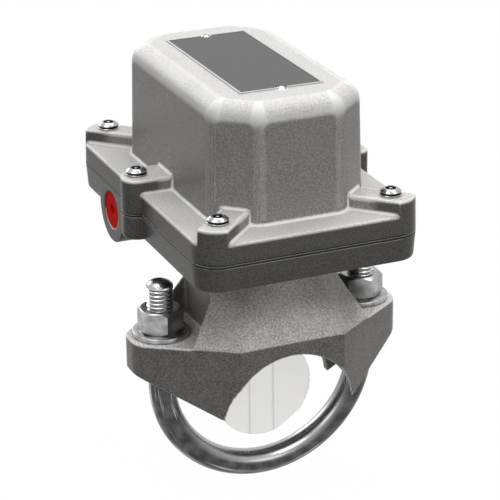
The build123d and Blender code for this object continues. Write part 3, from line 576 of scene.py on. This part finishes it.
def turned(profile, steps, place, turn):
    # profile(angle) gives (radius, height) pairs in millimetres, and place is the middle of the bottom
    points = []
    for step in range(steps):
        angle = 2 * math.pi * step / steps
        direction = angle + turn
        for radius, height in profile(angle):
            x = place[0] + radius * math.cos(direction)
            y = place[1] + radius * math.sin(direction)
            points.append((x * MM, y * MM, (place[2] + height) * MM))
    return points


def round_piece(name, profile, steps, places, finish, closed=True, turns=None):
    points = []
    faces = []
    count = len(profile(0.0))
    for index, place in enumerate(places):
        faces += rows_to_faces(steps, count, len(points), closed)
        points += turned(profile, steps, place, turns[index] if turns else 0.0)
    print(name, "pieces:", len(places), "faces:", len(faces))
    return mesh_piece(name, points, faces, finish, "root")


def hexagon(across, angle):
    # Distance from the middle to the side of a hexagon, which has a corner at angle zero
    sector = math.radians(60)
    return across / 2 / math.cos(angle % sector - sector / 2)


print("turning helpers are ready")

# %% [markdown]
# The clamp nuts are plain hexagon nuts. A real nut is chamfered on both ends, which leaves a curved line on
# each flat and a round face on top. The chamfer is a cone, so each point of the wall drops by its distance
# outside the cone's circle. The bore is narrower than the thread's crests, so no gap shows round the rod.

# %% Clamp nuts
half_spacing = 51.6
nut_bottom_z = 41.4
nut_width = 19.05
nut_height = 11.1
nut_bore = 5.5
nut_mouth = 1.1
nut_face_inset = 0.4
nut_turns = [math.radians(27.0), math.radians(35.0)]
cone_slope = math.tan(math.radians(38))
clamp_steps = 96


def nut_profile(angle):
    wall = hexagon(nut_width, angle)
    flat = nut_width / 2 - nut_face_inset
    drop = max(0.0, wall - flat) * cone_slope
    return [
        (nut_bore, nut_mouth),
        (nut_bore + nut_mouth, 0.0),
        (flat, 0.0),
        (wall, drop),
        (wall, nut_height - drop),
        (flat, nut_height),
        (nut_bore + nut_mouth, nut_height),
        (nut_bore, nut_height - nut_mouth),
    ]


nut_places = [(side * half_spacing, 0.0, nut_bottom_z) for side in (-1, 1)]
clamp_nuts = round_piece("clamp_nuts", nut_profile, clamp_steps, nut_places, "zinc_steel", turns=nut_turns)
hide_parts("u_bolt_nuts")

# %% [markdown]
# The flat washers under the nuts are stamped from sheet. The punch leaves the lower edge nearly square and
# draws the upper one round, so the profile has one small step below and two above.

# %% Washers under the clamp nuts
washer_bottom_z = 39.0
washer_radius = 13.5
washer_bore = 6.75
washer_thickness = 2.4
washer_soft = 0.35


def washer_profile(angle):
    return [
        (washer_bore, washer_soft),
        (washer_bore + washer_soft, 0.0),
        (washer_radius - washer_soft, 0.0),
        (washer_radius, washer_soft),
        (washer_radius, washer_thickness - washer_soft * 1.6),
        (washer_radius - washer_soft * 0.4, washer_thickness - washer_soft * 0.5),
        (washer_radius - washer_soft * 1.3, washer_thickness),
        (washer_bore + washer_soft, washer_thickness),
        (washer_bore, washer_thickness - washer_soft),
    ]


washer_places = [(side * half_spacing, 0.0, washer_bottom_z) for side in (-1, 1)]
clamp_washers = round_piece("clamp_washers", washer_profile, clamp_steps, washer_places, "zinc_steel")
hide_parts("u_bolt_washers")

# %% [markdown]
# The U-bolt is a bent rod whose two legs have a coarse thread, thirteen turns to the inch. It could be a
# bump, but its crests show in the outline, so it is a real helix: the radius of each point depends on its
# height and its angle together, and the crests climb round the rod. At its lower end the thread fades out
# over two turns, and at the top it ends below the smooth rounded nose.

# %% Thread of the U-bolt
rod_radius = 6.35
stud_top_z = 66.4
thread_pitch = 25.4 / 13
thread_depth = 1.15
thread_end_z = 22.0
crest_share = 0.12
flank_share = 0.72
fade_below = 2 * thread_pitch
fade_above = 0.3 * thread_pitch
nose = 3.4


def share(value):
    return min(1.0, max(0.0, value))


def thread_radius(height, angle):
    turns = height / thread_pitch + angle / (2 * math.pi)
    phase = abs((turns % 1.0) * 2 - 1)
    depth = thread_depth * share((phase - crest_share) / flank_share)
    run_out = share((height - thread_end_z) / fade_below)
    run_in = share((stud_top_z - nose - height) / fade_above)
    above_nose = max(0.0, height - stud_top_z + nose) / nose
    crown = rod_radius * math.sqrt(max(0.0, 1 - above_nose ** 2))
    return min(rod_radius - depth * run_out * run_in, crown)


print("thread pitch:", round(thread_pitch, 3), "mm")

# %% [markdown]
# The whole bolt is one skin of rings, down the left leg, round the loop and up the right leg. A curve with a
# bevel would make the loop, but not the thread. The rings lie close together on the legs, where the thread
# needs them, and further apart on the smooth loop.

# %% Rings along the U-bolt
ring_steps = 48
rows_per_turn = 10
bends = 72
ring_angles = [2 * math.pi * step / ring_steps for step in range(ring_steps)]


def leg_ring(side, height):
    ring = []
    for angle in ring_angles:
        radius = thread_radius(height, angle)
        x = side * half_spacing + side * radius * math.cos(angle)
        ring.append((x * MM, radius * math.sin(angle) * MM, height * MM))
    return ring


def loop_ring(turn):
    # turn goes from 0 at the left leg to pi at the right leg, below the centre
    ring = []
    for angle in ring_angles:
        reach = half_spacing + rod_radius * math.cos(angle)
        x = -reach * math.cos(turn)
        z = loop_centre_z - reach * math.sin(turn)
        ring.append((x * MM, rod_radius * math.sin(angle) * MM, z * MM))
    return ring


leg_length = stud_top_z - loop_centre_z
leg_rows = int(leg_length / thread_pitch * rows_per_turn)
heights = [stud_top_z - leg_length * row / leg_rows for row in range(leg_rows + 1)]
rings = [leg_ring(-1, height) for height in heights]
rings += [loop_ring(math.pi * bend / bends) for bend in range(1, bends)]
rings += [leg_ring(1, height) for height in reversed(heights)]
print("rings:", len(rings))

# %% [markdown]
# Every ring has the same number of points, so neighbours join with four-sided faces, and only the counting is
# left. The nose brings the first and the last ring down to a point, so the ends need no caps.

# %% U-bolt
bolt_points = [point for ring in rings for point in ring]
bolt_faces = []
for ring in range(len(rings) - 1):
    first = ring * ring_steps
    second = first + ring_steps
    for step in range(ring_steps):
        after = (step + 1) % ring_steps
        bolt_faces.append((first + step, first + after, second + after, second + step))
clamp_bolt = mesh_piece("clamp_bolt", bolt_points, bolt_faces, "galvanised", "root", sharp=50.0)
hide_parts("u_bolt")
print("U-bolt faces:", len(clamp_bolt.data.polygons))

# %% [markdown]
# The six cover screws are button heads with a hexagon socket and a pin in its middle, so that only the right
# key turns them. The heads measure 9.8 mm, a little less than those of the solids. The rounded crown is part
# of a ball, and the ball's size follows from the rim and from the flat ring round the socket.

# %% Crown of a cover screw
head_radius = 4.9
head_height = 2.4
head_rim = 1.15
crown_inner = 3.1
crown_steps = 7
crown_rise = head_height - head_rim
crown_sink = (head_radius ** 2 - crown_inner ** 2 - crown_rise ** 2) / (2 * crown_rise)
crown_ball = math.hypot(head_radius, crown_sink)


def crown_rows():
    rows = []
    for step in range(crown_steps + 1):
        radius = head_radius + (crown_inner - head_radius) * step / crown_steps
        rows.append((radius, head_rim - crown_sink + math.sqrt(crown_ball ** 2 - radius ** 2)))
    return rows


print("radius of the crown's ball:", round(crown_ball, 2), "mm")

# %% [markdown]
# The whole screw is one turned surface: up the shank and the neck, out to the rim, over the crown, down the
# socket's walls, along its floor and up the pin. A socket cut from a solid head would leave long thin faces
# that shade badly, and this way it is hollow from the start. Each screw is turned to an angle of its own, as
# a fitter leaves it, and the two in the middle are staggered, as their lobes are.

# %% Cover screws
lobe_top_z = 110.4
cover_washer_height = 1.0
socket_width = 4.6
socket_depth = 1.8
socket_lip = 0.08
socket_chamfer = 0.1
pin_radius = 0.8
neck_radius = 4.1
neck_height = 0.75
small_chamfer = 0.15
shank_radius = 3.1
shank_end = -24.0
screw_steps = 60
screw_spots = [(x, y) for x in (-42.1, 42.1) for y in (-70.5, 70.5)] + [(-52.8, 2.5), (52.8, -2.8)]
screw_turns = [0.4, 1.1, 0.1, 0.8, 0.55, 0.25]


def screw_profile(angle):
    mouth = hexagon(socket_width, angle)
    floor = head_height - socket_depth
    rows = [(0.0, shank_end), (shank_radius, shank_end), (shank_radius, 0.0)]
    rows += [(neck_radius, 0.0), (neck_radius, neck_height)]
    rows += [(head_radius - small_chamfer, neck_height), (head_radius, neck_height + small_chamfer)]
    rows += crown_rows()
    rows += [(mouth + socket_lip, head_height), (mouth, head_height - socket_chamfer), (mouth, floor)]
    rows += [(pin_radius, floor), (pin_radius, head_height - small_chamfer)]
    rows += [(pin_radius - small_chamfer, head_height), (0.0, head_height)]
    return rows


screw_places = [(x, y + housing_y, lobe_top_z + cover_washer_height) for x, y in screw_spots]
cover_screws = round_piece(
    "cover_screw_set", screw_profile, screw_steps, screw_places, "stainless", closed=False, turns=screw_turns
)
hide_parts("cover_screws")

# %% [markdown]
# A plain washer lies under each cover screw. It is hardly wider than the head, so from above only its rounded
# rim shows, as a thin ring below the dark groove.

# %% Washers under the cover screws
cover_washer_radius = 4.95
cover_washer_soft = 0.25
cover_washer_bore = shank_radius + 0.05


def cover_washer_profile(angle):
    return [
        (cover_washer_bore, 0.0),
        (cover_washer_radius - cover_washer_soft, 0.0),
        (cover_washer_radius, cover_washer_soft),
        (cover_washer_radius, cover_washer_height - cover_washer_soft),
        (cover_washer_radius - cover_washer_soft, cover_washer_height),
        (cover_washer_bore, cover_washer_height),
    ]


cover_washer_places = [(x, y, lobe_top_z) for x, y, z in screw_places]
cover_washers = round_piece(
    "cover_washer_set", cover_washer_profile, screw_steps, cover_washer_places, "stainless"
)
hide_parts("cover_screw_washers")

# %% [markdown]
# White paper under the object would throw much light back at it. So the floor is dark paper for the light,
# and white only for what the camera, mirrors and glass see: the Light Path node tells which kind of ray
# arrives. One tenth of the dark paper still shows, which keeps the object's soft shadow.

# %% Floor
floor_gap = 0.5
floor_reach = 3.0
ray_kinds = ("Is Camera Ray", "Is Glossy Ray", "Is Transmission Ray")


def seen_share(tree):
    # 1 for what the camera, mirrors and glass see, and 0 for the light that falls on the object
    start = Signal(tree, None)
    camera, mirror, glass = (start.node("ShaderNodeLightPath", output=kind) for kind in ray_kinds)
    return camera.larger(mirror).larger(glass)


floor_z = cad_box[0][2] - floor_gap * MM
corners = [(-1, -1), (1, -1), (1, 1), (-1, 1)]
floor_mesh = bpy.data.meshes.new("studio_floor")
floor_mesh.from_pydata([(x * floor_reach, y * floor_reach, floor_z) for x, y in corners], [], [(0, 1, 2, 3)])
floor = bpy.data.objects.new("studio_floor", floor_mesh)
add_to_scene(floor)
print("floor at", round(floor_z, 4))

# %% [markdown]
# The paper mixes its own dull surface with a plain glow. A Mix Shader does that, and its share comes from the
# kind of ray.

# %% White paper
paper_grey = 0.08
paper_glow = 1.1
glow_share = 0.9
paper = bpy.data.materials.new("studio_paper")
paper.use_nodes = True
tree = paper.node_tree
helper = Signal(tree, None)
dull = tree.nodes["Principled BSDF"]
dress(helper, dull, Base_Color=grey(paper_grey), Roughness=0.9)
glow = helper.node("ShaderNodeEmission", None, {"Color": grey(1.0), "Strength": paper_glow})
shown = {0: seen_share(tree) * glow_share, 1: Signal(tree, dull.outputs[0]), 2: glow}
mixed = helper.node("ShaderNodeMixShader", None, shown)
dress(helper, tree.nodes["Material Output"], Surface=mixed)
floor_mesh.materials.append(paper)
print("made", paper.name)

# %% [markdown]
# The world works like the floor: it is white where it is seen or mirrored, and nearly dark as a source of
# light, so that the lamps shape the object.

# %% World
ambient = 0.03
world = bpy.data.worlds.new("studio")
world.use_nodes = True
bpy.context.scene.world = world
tree = world.node_tree
brightness = ambient + (1.0 - ambient) * seen_share(tree)
dress(brightness, tree.nodes["Background"], Color=grey(1.0), Strength=brightness)
print("ambient light", ambient)

# %% [markdown]
# Seven soft lamps stand round the object and aim at its middle. Three hang above it and make its tops light.
# The other four are weaker: one behind on the left, one high in front, and one on each side of the camera.
# Each lamp is large for its distance, which keeps the shadows soft.

# %% Lamps
lamp_aim = Vector((0.0, 0.02, 0.06))


def lamp(name, place, size, power):
    data = bpy.data.lights.new(name, "AREA")
    data.shape = "RECTANGLE"
    data.size, data.size_y = size
    data.energy = power
    piece = bpy.data.objects.new(name, data)
    piece.location = place
    piece.rotation_euler = (lamp_aim - Vector(place)).to_track_quat("-Z", "Y").to_euler()
    add_to_scene(piece)


lamp("key", place=(0.05, 0.35, 1.05), size=(0.5, 0.5), power=3.6)
lamp("over_left", place=(-0.36, 0.0, 1.05), size=(0.4, 0.4), power=3.0)
lamp("front_top", place=(0.4, 0.04, 1.05), size=(0.8, 0.22), power=4.7)
lamp("back_left", place=(-0.27, 0.97, 0.46), size=(0.6, 0.36), power=2.4)
lamp("high_left", place=(-0.65, -0.65, 0.6), size=(0.35, 0.35), power=1.1)
lamp("front_right", place=(0.38, -0.95, 0.3), size=(0.3, 0.3), power=1.1)
lamp("front_high", place=(0.05, -0.72, 0.85), size=(0.4, 0.3), power=2.9)

# %% [markdown]
# The camera stands where the photograph was taken: a little to the left and above, about one metre away, with
# a long lens. Its place and its directions were solved from the photograph. The solved numbers are rounded,
# so the directions are made exactly square to each other here.

# %% Camera
camera_place = (-0.3672, -0.8493, 0.4487)
solved_right = Vector((0.9185, -0.3953, -0.0090))
solved_up = Vector((0.1568, 0.3432, 0.9261))
right = solved_right.normalized()
back = right.cross(solved_up).normalized()
up = back.cross(right).normalized()
camera_data = bpy.data.cameras.new("camera")
camera_data.sensor_width = 36.0
camera_data.lens = 153.0
camera_data.shift_x = -0.002
camera_data.shift_y = 0.0015
camera = bpy.data.objects.new("camera", camera_data)
camera_rows = [(right[i], up[i], back[i], camera_place[i]) for i in range(3)]
camera.matrix_world = Matrix(camera_rows + [(0, 0, 0, 1)])
add_to_scene(camera)
bpy.context.scene.camera = camera
bpy.context.scene.view_settings.view_transform = "Standard"
print("camera at", [round(value, 3) for value in camera.matrix_world.translation])
